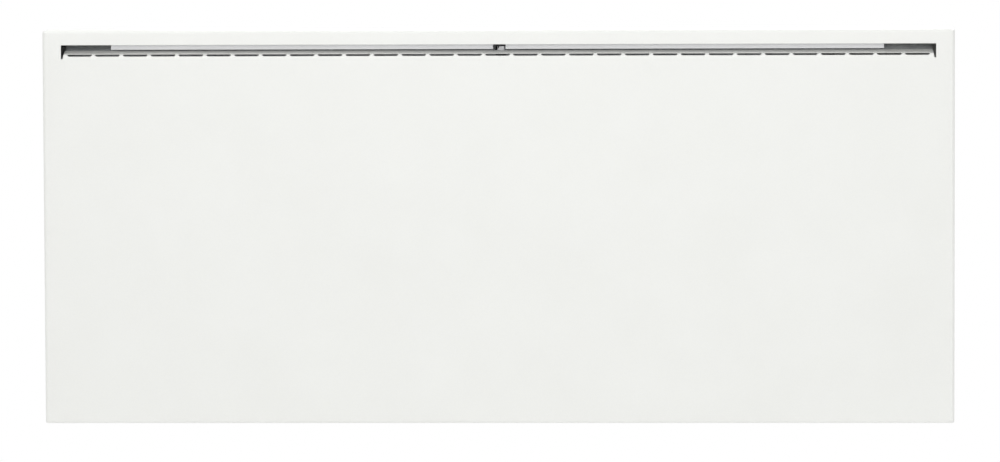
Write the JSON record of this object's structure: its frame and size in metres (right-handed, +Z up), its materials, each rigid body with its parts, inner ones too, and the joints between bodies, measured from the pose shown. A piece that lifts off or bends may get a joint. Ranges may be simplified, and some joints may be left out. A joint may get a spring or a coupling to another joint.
{
  "type": "wall panel convector heater",
  "caption": "White wall-hung electric panel convector heater with a long front outlet slot and vented lip, top controls, side rocker and a tilt-forward wall bracket.",
  "frame": {"origin": "middle of the wall bracket's flat rear face, which lies against the wall, at mid-width and mid-height of the heater", "axes": "+X to the right seen from the front, -Y out of the front face into the room, +Z up"},
  "size_m": [0.855, 0.086, 0.3718],
  "materials": {
    "white_paint": "satin, slightly warm white stove enamel",
    "inner_white_paint": "satin white paint inside the outlet",
    "grey_paint": "satin light grey powder coat",
    "galvanised_steel": "galvanised, faint spangle",
    "bright_aluminium": "mill finish",
    "dark_sheath": "oxidised heater sheath",
    "ceramic": "unglazed ceramic",
    "spring_steel": "oiled spring steel",
    "zinc_steel": "bright zinc plate",
    "white_plastic": "fine moulded grain",
    "black_plastic": "fine moulded grain",
    "circuit_board": "green solder resist",
    "smoked_lens": "polished smoked window",
    "black_rubber": "matt rubber",
    "white_lead": "silicone-sheathed lead",
    "green_lead": "sheathed earth lead",
    "brass": "turned brass"
  },
  "bodies": {
    "bracket": {"wall_bracket": "grey_paint", "catch_leaf": "spring_steel", "catch_rivet_1": "zinc_steel", "catch_rivet_2": "zinc_steel"},
    "heater": {"front_cover": "white_paint", "top_rail": "inner_white_paint", "rear_casing": "grey_paint", "inlet_grille": "galvanised_steel", "air_duct": "galvanised_steel", "element_cradle_left": "galvanised_steel", "element_cradle_right": "galvanised_steel", "reflector": "bright_aluminium", "element_fins": "bright_aluminium", "element_rod": "dark_sheath", "element_bush_left": "ceramic", "element_bush_right": "ceramic", "cutout_plate": "zinc_steel", "thermal_cutout": "black_plastic", "control_housing": "white_plastic", "control_panel": "white_plastic", "display_lens": "smoked_lens", "display_module": "black_plastic", "control_board": "circuit_board", "relay": "black_plastic", "key_switch_minus": "black_plastic", "key_switch_mode": "black_plastic", "key_switch_plus": "black_plastic", "rocker_socket": "black_plastic", "terminal_block": "white_plastic", "cable_gland": "black_plastic", "gland_nut": "black_plastic", "gland_seal": "black_rubber", "earth_stud": "brass", "room_sensor": "black_plastic", "sensor_clip": "spring_steel", "duct_grommet": "black_rubber", "element_lead_right": "white_lead", "element_lead_left": "white_lead", "board_lead": "white_lead", "switch_lead": "black_plastic", "earth_lead": "green_lead", "cutout_lead": "white_lead", "sensor_lead": "black_plastic", "lower_hanger_left": "zinc_steel", "lower_hanger_right": "zinc_steel", "pivot_pin_left": "zinc_steel", "pivot_pin_right": "zinc_steel", "spacer_left": "black_rubber", "spacer_right": "black_rubber", "tongue_guide": "white_plastic", "tongue_spring": "spring_steel", "catch_tab": "zinc_steel", "cover_screw_1": "zinc_steel", "cover_screw_2": "zinc_steel", "cover_screw_3": "zinc_steel"},
    "release_tongue": {"release_tongue": "inner_white_paint"},
    "button_minus": {"button_minus": "white_plastic"},
    "button_mode": {"button_mode": "white_plastic"},
    "button_plus": {"button_plus": "white_plastic"},
    "mains_rocker": {"mains_rocker": "black_plastic"}
  },
  "joints": [
    {"name": "heater_tilt", "type": "hinge", "parent": "bracket", "child": "heater", "pos_m": [0, -0.0125, -0.14], "axis": [1, 0, 0], "range_deg": [0, 25], "deforming": ["catch_leaf"]},
    {"name": "tongue_slide", "type": "slide", "parent": "heater", "child": "release_tongue", "axis": [0, 0, -1], "range_m": [0, 0.003], "stiffness_N_per_m": 600, "springref_m": -0.001, "deforming": ["tongue_spring"]},
    {"name": "minus_press", "type": "slide", "parent": "heater", "child": "button_minus", "axis": [0, 0, -1], "range_m": [0, 0.0006], "stiffness_N_per_m": 500, "springref_m": -0.0005},
    {"name": "mode_press", "type": "slide", "parent": "heater", "child": "button_mode", "axis": [0, 0, -1], "range_m": [0, 0.0006], "stiffness_N_per_m": 500, "springref_m": -0.0005},
    {"name": "plus_press", "type": "slide", "parent": "heater", "child": "button_plus", "axis": [0, 0, -1], "range_m": [0, 0.0006], "stiffness_N_per_m": 500, "springref_m": -0.0005},
    {"name": "rocker_turn", "type": "hinge", "parent": "heater", "child": "mains_rocker", "pos_m": [0.421, -0.031, -0.01], "axis": [0, -1, 0], "range_deg": [0, 14]}
  ]
}
